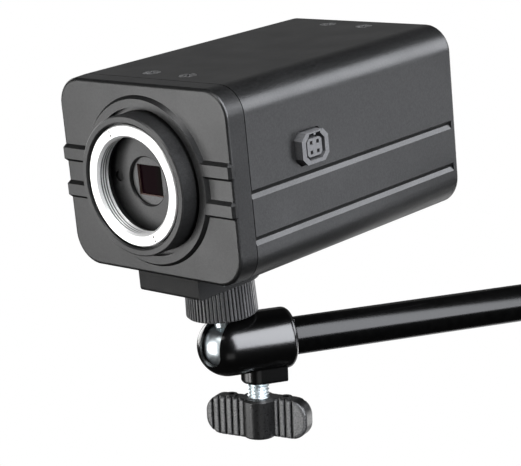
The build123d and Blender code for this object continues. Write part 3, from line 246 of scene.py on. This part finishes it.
def make_world():
    """A white backdrop for the camera, and a dim even light for everything else."""
    world = bpy.data.worlds.new("world")
    world.use_nodes = True
    tree = world.node_tree
    tree.nodes.clear()
    path = tree.nodes.new("ShaderNodeLightPath")
    mix = tree.nodes.new("ShaderNodeMixShader")
    out = tree.nodes.new("ShaderNodeOutputWorld")
    tree.links.new(path.outputs["Is Camera Ray"], mix.inputs[0])
    tree.links.new(background(tree, AMBIENT_LIGHT), mix.inputs[1])
    tree.links.new(background(tree, BACKDROP_LIGHT), mix.inputs[2])
    tree.links.new(mix.outputs[0], out.inputs["Surface"])
    bpy.context.scene.world = world


def make_floor():
    """A white floor well below the arm, which casts nothing on the part."""
    height = CAD_BOUNDS[0][2] - FLOOR_DROP
    corners = [
        (-FLOOR_REACH, -FLOOR_REACH, height), (FLOOR_REACH, -FLOOR_REACH, height),
        (FLOOR_REACH, FLOOR_REACH, height), (-FLOOR_REACH, FLOOR_REACH, height),
    ]
    mesh = bpy.data.meshes.new("floor")
    mesh.from_pydata(corners, [], [(0, 1, 2, 3)])
    floor = bpy.data.objects.new("floor", mesh)
    bpy.context.scene.collection.objects.link(floor)
    material = bpy.data.materials.new("floor_white")
    material.use_nodes = True
    tree = material.node_tree
    tree.nodes.clear()
    glow = tree.nodes.new("ShaderNodeEmission")
    glow.inputs["Color"].default_value = (1, 1, 1, 1)
    out = tree.nodes.new("ShaderNodeOutputMaterial")
    tree.links.new(glow.outputs[0], out.inputs["Surface"])
    mesh.materials.append(material)
    floor.visible_diffuse = False
    floor.visible_glossy = False
    floor.visible_shadow = False


# Steps that the materials are made of

def tone(value):
    """A neutral colour."""
    return value, value, value


def new_material(name, color, metallic, roughness, specular=None):
    """A principled material, its node tree and its shader."""
    material = bpy.data.materials.new(name)
    material.use_nodes = True
    shader = material.node_tree.nodes["Principled BSDF"]
    shader.inputs["Base Color"].default_value = (*color, 1)
    shader.inputs["Metallic"].default_value = metallic
    shader.inputs["Roughness"].default_value = roughness
    if specular is not None:
        shader.inputs["Specular IOR Level"].default_value = specular
    LOOKS[name] = material
    return material, material.node_tree, shader


def part_place(tree):
    """The place of the shaded point, in the part's own coordinates."""
    return tree.nodes.new("ShaderNodeTexCoord").outputs["Object"]


def noise(tree, scale, detail=2.0):
    """A noise texture on the part; its scale is in features per metre."""
    texture = tree.nodes.new("ShaderNodeTexNoise")
    texture.inputs["Scale"].default_value = scale
    texture.inputs["Detail"].default_value = detail
    tree.links.new(part_place(tree), texture.inputs["Vector"])
    return texture.outputs["Fac"]


def ramp(tree, value, start, end, low=0.0, high=1.0):
    """A value from low to high, as another goes from start to end."""
    node = tree.nodes.new("ShaderNodeMapRange")
    node.inputs["From Min"].default_value = start
    node.inputs["From Max"].default_value = end
    node.inputs["To Min"].default_value = low
    node.inputs["To Max"].default_value = high
    tree.links.new(value, node.inputs["Value"])
    return node.outputs["Result"]


def spread(tree, value, low, high):
    """A noise value mapped from its usual middle range to a new range."""
    return ramp(tree, value, NOISE_LOW, NOISE_HIGH, low, high)


def blend(tree, value, first, second):
    """A colour between two, by a value from 0 to 1; each is a colour or another node's output."""
    mix = tree.nodes.new("ShaderNodeMix")
    mix.data_type = "RGBA"
    tree.links.new(value, mix.inputs["Factor"])
    for letter, color in (("A", first), ("B", second)):
        if isinstance(color, tuple):
            mix.inputs[letter].default_value = (*color, 1)
        else:
            tree.links.new(color, mix.inputs[letter])
    return mix.outputs["Result"]


def bump(tree, shader, height, depth):
    """A bump of a real depth in metres."""
    node = tree.nodes.new("ShaderNodeBump")
    node.inputs["Strength"].default_value = 1.0
    node.inputs["Distance"].default_value = depth
    tree.links.new(height, node.inputs["Height"])
    tree.links.new(node.outputs["Normal"], shader.inputs["Normal"])


def math_node(tree, operation, value, other=None):
    """The result of one math step on a value, and on a second value or number."""
    node = tree.nodes.new("ShaderNodeMath")
    node.operation = operation
    tree.links.new(value, node.inputs[0])
    if isinstance(other, float):
        node.inputs[1].default_value = other
    elif other is not None:
        tree.links.new(other, node.inputs[1])
    return node.outputs[0]


def vector_node(tree, operation, value, other=None):
    """One vector step on a value, and on a second, constant vector."""
    node = tree.nodes.new("ShaderNodeVectorMath")
    node.operation = operation
    tree.links.new(value, node.inputs[0])
    if other is not None:
        node.inputs[1].default_value = other
    return node


def offset_value(tree, spot):
    """The shaded point's offset from a spot."""
    return vector_node(tree, "SUBTRACT", part_place(tree), spot).outputs["Vector"]


def part_axis_value(tree, letter, low, high):
    """A value from 0 to 1 as one of the part's own coordinates goes from low to high."""
    split = tree.nodes.new("ShaderNodeSeparateXYZ")
    tree.links.new(part_place(tree), split.inputs[0])
    return ramp(tree, split.outputs[letter], low, high)


def distance_value(tree, spot, axis, low, high):
    """A value from 0 to 1 as the distance from a line goes from low to high."""
    cross = vector_node(tree, "CROSS_PRODUCT", offset_value(tree, spot), axis)
    length = vector_node(tree, "LENGTH", cross.outputs["Vector"])
    return ramp(tree, length.outputs["Value"], low, high)


def reach_value(tree, spot, direction):
    """The distance of a point from a spot, along a direction."""
    return vector_node(tree, "DOT_PRODUCT", offset_value(tree, spot), direction).outputs["Value"]


# Materials

def speckled(name, dark, light, roughness, grain, depth, metallic=0.0, specular=None):
    """A surface with fine grain in its colour, its roughness and its height."""
    material, tree, shader = new_material(name, light, metallic, roughness[0], specular)
    fine = noise(tree, grain, 3.0)
    broad = noise(tree, grain / BROAD_GRAIN)
    tree.links.new(blend(tree, spread(tree, fine, 0.0, 1.0), dark, light), shader.inputs["Base Color"])
    tree.links.new(spread(tree, broad, *roughness), shader.inputs["Roughness"])
    bump(tree, shader, fine, depth)
    return material


def joint_line(name):
    """A joint's place and its unit axis."""
    joint = next(entry for entry in frame["record"]["behaviour"]["joints"] if entry["name"] == name)
    return Vector(joint["pos_m"]), Vector(joint["axis"]).normalized()


def groove_shade_value(tree, spot, axis):
    """A mask for painted shade: a value from 0 in the wings' grooves to 1 on their ridges and flat ends."""
    turn = math.radians(WING_TURN)
    along = Vector((math.cos(turn), math.sin(turn), 0.0))
    along = (along - axis * along.dot(axis)).normalized()
    across = axis.cross(along)
    offsets = [vertex.co - spot for vertex in NODES["wing_knob"].data.vertices]
    side = [offset.dot(across) for offset in offsets if offset.dot(along) > WING_FAR]
    middle = (min(side) + max(side)) / 2
    shift = math_node(tree, "MULTIPLY", math_node(tree, "SIGN", reach_value(tree, spot, along)), middle)
    height = math_node(tree, "SUBTRACT", reach_value(tree, spot, across), shift)
    height = math_node(tree, "ABSOLUTE", height)
    return ramp(tree, height, WING_HALF - RIDGE_FOOT, WING_HALF - RIDGE_TOP)


def knob_plastic():
    """Worn, speckled wings with painted shade darkening their grooves, round a smooth dark hub."""
    spot, axis = joint_line("clamp_screw_turn")
    material, tree, shader = new_material("knob", tone(0.03), 0.0, 0.4)
    fine = noise(tree, 2200, 3.0)
    wings = distance_value(tree, spot, axis, HUB_R, HUB_R + HUB_FADE)
    # Painted shade: the grooves between the wings' ridges are darkened nearly to black
    light = math_node(tree, "MULTIPLY", spread(tree, fine, 0.25, 1.0), groove_shade_value(tree, spot, axis))
    worn_and_groove_shaded = blend(tree, light, tone(0.004), tone(0.120))
    smooth = blend(tree, spread(tree, fine, 0.0, 1.0), tone(0.004), tone(0.011))
    tree.links.new(blend(tree, wings, smooth, worn_and_groove_shaded), shader.inputs["Base Color"])
    tree.links.new(spread(tree, fine, 0.26, 0.36), shader.inputs["Roughness"])
    bump(tree, shader, fine, 0.008 * MM)
    return material


def filter_glass():
    """The sensor's filter: nearly black, red in the middle and green towards one side."""
    red = (0.0060, 0.0012, 0.0025)
    green = (0.0030, 0.0045, 0.0022)
    material, tree, shader = new_material("filter", red, 0.0, 0.06, 0.006)
    side = part_axis_value(tree, "X", FILTER_RED_X, FILTER_GREEN_X)
    tree.links.new(blend(tree, side, red, green), shader.inputs["Base Color"])
    tree.links.new(spread(tree, noise(tree, 400), 0.05, 0.10), shader.inputs["Roughness"])
    return material


def ring_metal():
    """Bright turned metal, with painted shade darkening the roots of the ring's thread."""
    material = speckled("ring", (0.86, 0.86, 0.85), (0.94, 0.94, 0.93), (0.38, 0.46), 3000, 0.004 * MM, 0.6)
    tree = material.node_tree
    base = tree.nodes["Principled BSDF"].inputs["Base Color"]
    bright = base.links[0].from_socket
    # Painted shade: grey in the thread's roots and farther out, behind the ring's mouth
    root_shade = distance_value(tree, (0.0, 0.0, 0.0), (0.0, 1.0, 0.0), ROOT_R, ROOT_R + ROOT_SHADE_FADE)
    inside = part_axis_value(tree, "Y", THREAD_START, THREAD_START + ROOT_SHADE_FADE)
    tree.links.new(blend(tree, math_node(tree, "MULTIPLY", root_shade, inside), bright, tone(0.12)), base)
    return material


def holder_plastic():
    """The grey holder, with a warm tone on the walls of its window."""
    material, tree, shader = new_material("holder", tone(0.10), 0.0, 0.55)
    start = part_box("filter_holder")[0][1] + WINDOW_START
    inside = part_axis_value(tree, "Y", start, start + WINDOW_FADE)
    fine = noise(tree, 2000, 3.0)
    plain = blend(tree, spread(tree, fine, 0.0, 1.0), tone(0.09), tone(0.13))
    tree.links.new(blend(tree, inside, plain, (0.36, 0.25, 0.22)), shader.inputs["Base Color"])
    tree.links.new(spread(tree, fine, 0.5, 0.6), shader.inputs["Roughness"])
    bump(tree, shader, fine, 0.01 * MM)
    return material


def make_materials():
    """Make every material."""
    speckled("coat", tone(0.002), tone(0.012), (0.32, 0.38), 2000, 0.022 * MM)
    speckled("block", tone(0.006), tone(0.010), (0.55, 0.65), 2600, 0.03 * MM, specular=0.30)
    speckled("barrel", tone(0.006), tone(0.020), (0.34, 0.42), 2400, 0.01 * MM)
    speckled("bush", tone(0.006), tone(0.010), (0.55, 0.65), 900, 0.01 * MM)
    speckled("board", (0.01, 0.07, 0.03), (0.02, 0.10, 0.05), (0.3, 0.4), 900, 0.01 * MM)
    speckled("black", tone(0.02), (0.035, 0.035, 0.036), (0.45, 0.55), 1800, 0.01 * MM)
    speckled("grey", (0.085, 0.085, 0.087), (0.115, 0.115, 0.117), (0.5, 0.6), 1800, 0.01 * MM)
    speckled("gold", (0.6, 0.42, 0.16), (0.75, 0.55, 0.24), (0.2, 0.3), 1200, 0.004 * MM, 1.0)
    speckled("plated", (0.60, 0.60, 0.58), (0.72, 0.72, 0.70), (0.15, 0.25), 900, 0.003 * MM, 1.0)
    speckled("white", (0.72, 0.72, 0.69), (0.8, 0.8, 0.78), (0.4, 0.5), 900, 0.01 * MM)
    speckled("green", (0.02, 0.16, 0.05), (0.03, 0.22, 0.08), (0.35, 0.45), 900, 0.01 * MM)
    speckled("led", (0.35, 0.01, 0.01), (0.45, 0.02, 0.02), (0.1, 0.2), 600, 0.0)
    speckled("knurl", (0.040, 0.040, 0.041), (0.080, 0.080, 0.081), (0.26, 0.34), 1800, 0.003 * MM)
    speckled("chrome", (0.70, 0.78, 0.81), (0.86, 0.92, 0.94), (0.20, 0.36), 1500, 0.003 * MM, 1.0)
    speckled("gloss", tone(0.0004), tone(0.0010), (0.17, 0.23), 500, 0.0, specular=0.62)
    speckled("rod", tone(0.001), tone(0.002), (0.16, 0.20), 500, 0.0, specular=0.24)
    speckled("steel", tone(0.03), tone(0.66), (0.34, 0.44), 1000, 0.05 * MM, 1.0)
    speckled("socket", (0.075, 0.075, 0.077), (0.115, 0.115, 0.117), (0.45, 0.55), 2200, 0.01 * MM)
    ring_metal()
    holder_plastic()
    filter_glass()
    knob_plastic()


def dress_nodes():
    """Give the CAD nodes their materials; their own surface normals stay."""
    for look, names in DRESSED.items():
        for name in names:
            mesh = NODES[name].data
            mesh.materials.clear()
            mesh.materials.append(LOOKS[look])


# Steps that the pieces are made of

def new_piece(name, bm, material, body):
    """A piece made from a bmesh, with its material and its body."""
    mesh = bpy.data.meshes.new(name)
    bm.to_mesh(mesh)
    bm.free()
    mesh.materials.append(material)
    piece = bpy.data.objects.new(name, mesh)
    bpy.context.scene.collection.objects.link(piece)
    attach(piece, body)
    return piece


def grid_loops(bm, loops, smooth=True):
    """Quads between closed loops of vertices."""
    for first, second in zip(loops, loops[1:]):
        for index in range(len(first)):
            after = (index + 1) % len(first)
            face = bm.faces.new((first[index], first[after], second[after], second[index]))
            face.smooth = smooth


def circle_y(bm, radius, y, count, centre=(0.0, 0.0)):
    """A loop of vertices round the Y direction."""
    loop = []
    for index in range(count):
        turn = 2 * math.pi * index / count
        x = centre[0] + radius * math.cos(turn)
        z = centre[1] + radius * math.sin(turn)
        loop.append(bm.verts.new((x, y, z)))
    return loop


def loop_edges(bm, loop):
    """The edges of a closed loop, made where they don't exist."""
    edges = []
    for index, vertex in enumerate(loop):
        after = loop[(index + 1) % len(loop)]
        edges.append(bm.edges.get((vertex, after)) or bm.edges.new((vertex, after)))
    return edges


def thread_height(along, turn, pitch):
    """Height of a V thread with narrow flats, from 0 to 1."""
    phase = (along / pitch + turn / (2 * math.pi)) % 1.0
    return min(max(abs(2 * phase - 1) * THREAD_SLOPE - THREAD_ROOT_FLAT, 0.0), 1.0)


def thread_loop(bm, centre, sides, count, inner_r, depth, along, pitch):
    """A loop round a thread's axis, as far out as the thread is at each angle."""
    loop = []
    for index in range(count):
        turn = 2 * math.pi * index / count
        radius = inner_r + depth * thread_height(along, turn, pitch)
        spot = centre + sides[0] * (radius * math.cos(turn)) + sides[1] * (radius * math.sin(turn))
        loop.append(bm.verts.new(spot))
    return loop


# Pieces that stand where a CAD solid stood

def ring_loops(bm):
    """The lens ring's loops, from its mouth through the thread and round the outside to its face."""
    sides = (Vector((1.0, 0.0, 0.0)), Vector((0.0, 0.0, 1.0)))
    rows = round((THREAD_END - THREAD_START) / THREAD_PITCH * ROWS_PER_PITCH)
    loops = [circle_y(bm, RING_MOUTH_R, 0.0, RING_COUNT)]
    for row in range(rows + 1):
        y = THREAD_START + (THREAD_END - THREAD_START) * row / rows
        fade = min(1.0, row / THREAD_FADE_ROWS, (rows - row) / THREAD_FADE_ROWS)
        depth = (THREAD_MAJOR_R - THREAD_MINOR_R) * fade
        centre = Vector((0.0, y, 0.0))
        loops.append(thread_loop(bm, centre, sides, RING_COUNT, THREAD_MINOR_R, depth, y, THREAD_PITCH))
    for radius, y in (
        (THREAD_MAJOR_R, THREAD_END), (THREAD_MAJOR_R, RING_LENGTH), (RING_R, RING_LENGTH),
        (RING_R, RING_EDGE), (RING_R - RING_EDGE, 0.0),
    ):
        loops.append(circle_y(bm, radius, y, RING_COUNT))
    return loops


def spanner_hole(bm, radius, degrees):
    """A blind hole in the ring's face; gives the edges of its mouth."""
    turn = math.radians(degrees)
    centre = (radius * math.cos(turn), radius * math.sin(turn))
    mouth = circle_y(bm, SPANNER_R, 0.0, SPANNER_COUNT, centre)
    bottom = circle_y(bm, SPANNER_R, SPANNER_DEPTH, SPANNER_COUNT, centre)
    grid_loops(bm, [mouth, bottom])
    bm.faces.new(bottom)
    return loop_edges(bm, mouth)


def make_lens_ring(material, relief_material):
    """The bright ring, with its real thread inside and two pairs of spanner holes in its face."""
    bm = bmesh.new()
    loops = ring_loops(bm)
    grid_loops(bm, loops)
    face_edges = loop_edges(bm, loops[0]) + loop_edges(bm, loops[-1])
    for radius, degrees in SPANNER_PLACES:
        face_edges += spanner_hole(bm, radius, degrees)
    filled = bmesh.ops.triangle_fill(bm, use_beauty=True, use_dissolve=False, edges=face_edges)
    for piece in filled["geom"]:
        if isinstance(piece, bmesh.types.BMFace):
            piece.smooth = False
    bmesh.ops.recalc_face_normals(bm, faces=bm.faces)
    for face in bm.faces:
        if face.calc_center_median().y >= THREAD_END:
            face.material_index = 1
    ring = new_piece("threaded_lens_ring", bm, material, "back_focus_ring")
    ring.data.materials.append(relief_material)
    ring.data.set_sharp_from_angle(angle=math.radians(RING_SHARP))
    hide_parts("lens_ring")


def make_filter(material):
    """The filter glass with a bevelled front, at the back of the space that its CAD solid fills."""
    low, high = (Vector(corner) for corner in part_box("ir_filter"))
    front = low.y + FILTER_SINK
    bm = bmesh.new()
    loops = []
    for inset, y in ((FILTER_BEVEL, front), (0.0, front + FILTER_BEVEL), (0.0, high.y)):
        corners = (
            (low.x + inset, low.z + inset), (high.x - inset, low.z + inset),
            (high.x - inset, high.z - inset), (low.x + inset, high.z - inset),
        )
        loops.append([bm.verts.new((x, y, z)) for x, z in corners])
    grid_loops(bm, loops, smooth=False)
    bm.faces.new(loops[0])
    bm.faces.new(loops[-1])
    bmesh.ops.recalc_face_normals(bm, faces=bm.faces)
    glass = new_piece("filter_glass", bm, material, "camera")
    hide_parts("ir_filter")


def knurled_loop(bm, spot, limit_r, crest_r, z):
    """One level of the knurl: ridges with narrow gaps, held within a largest radius."""
    loop = []
    for ridge in range(KNURLS):
        for phase, height in KNURL_SHAPE:
            turn = 2 * math.pi * (ridge + phase) / KNURLS
            radius = min(limit_r, crest_r - KNURL_DEPTH * (1 - height))
            x = spot.x + radius * math.cos(turn)
            y = spot.y + radius * math.sin(turn)
            loop.append(bm.verts.new((x, y, z)))
    return loop


def make_lock_ring(material):
    """The lock ring with even, crisp knurling, where the CAD ring stands."""
    low, high = (Vector(corner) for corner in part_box("lock_ring"))
    spot = (low + high) / 2
    levels = (
        (LOCK_BORE_R, LOCK_R, low.z),
        (LOCK_R - LOCK_EDGE, LOCK_R, low.z),
        (LOCK_R, LOCK_R, low.z + LOCK_EDGE),
        (LOCK_TOP_R, LOCK_TOP_R, high.z - LOCK_EDGE),
        (LOCK_TOP_R - LOCK_EDGE, LOCK_TOP_R, high.z),
        (LOCK_BORE_R, LOCK_TOP_R, high.z),
    )
    bm = bmesh.new()
    loops = [knurled_loop(bm, spot, *level) for level in levels]
    grid_loops(bm, loops + [loops[0]], smooth=False)
    bmesh.ops.recalc_face_normals(bm, faces=bm.faces)
    ring = new_piece("knurled_lock_ring", bm, material, "lock_nut")
    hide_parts("lock_ring")


def make_clamp_screw(material):
    """The clamp screw with its metric thread, where the CAD rod stands."""
    place, axis = joint_line("clamp_screw_turn")
    reach = [(vertex.co - place).dot(axis) for vertex in NODES["clamp_screw"].data.vertices]
    start, end = min(reach), max(reach)
    side = axis.orthogonal().normalized()
    sides = (side, axis.cross(side))
    rows = round((end - start) / CLAMP_PITCH * ROWS_PER_PITCH)
    bm = bmesh.new()
    loops = []
    for row in range(rows + 1):
        along = start + (end - start) * row / rows
        fade = min(1.0, CLAMP_TIP_HEIGHT + row / CLAMP_FADE_ROWS)
        depth = (CLAMP_CREST_R - CLAMP_ROOT_R) * fade
        centre = place + axis * along
        loops.append(thread_loop(bm, centre, sides, CLAMP_COUNT, CLAMP_ROOT_R, depth, along, CLAMP_PITCH))
    grid_loops(bm, loops)
    bm.faces.new(loops[0])
    bm.faces.new(loops[-1])
    bmesh.ops.recalc_face_normals(bm, faces=bm.faces)
    screw = new_piece("threaded_clamp_screw", bm, material, "clamp")
    screw.data.set_sharp_from_angle(angle=math.radians(CLAMP_SHARP))
    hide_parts("clamp_screw")


make_camera()
make_world()
for box_name, box in SOFT_BOXES.items():
    soft_box(box_name, *box)
make_floor()
make_materials()
dress_nodes()
make_lens_ring(LOOKS["ring"], LOOKS["barrel"])
make_filter(LOOKS["filter"])
make_lock_ring(LOOKS["knurl"])
make_clamp_screw(LOOKS["chrome"])

bpy.context.scene.view_settings.view_transform = "Standard"
bpy.context.view_layer.update()
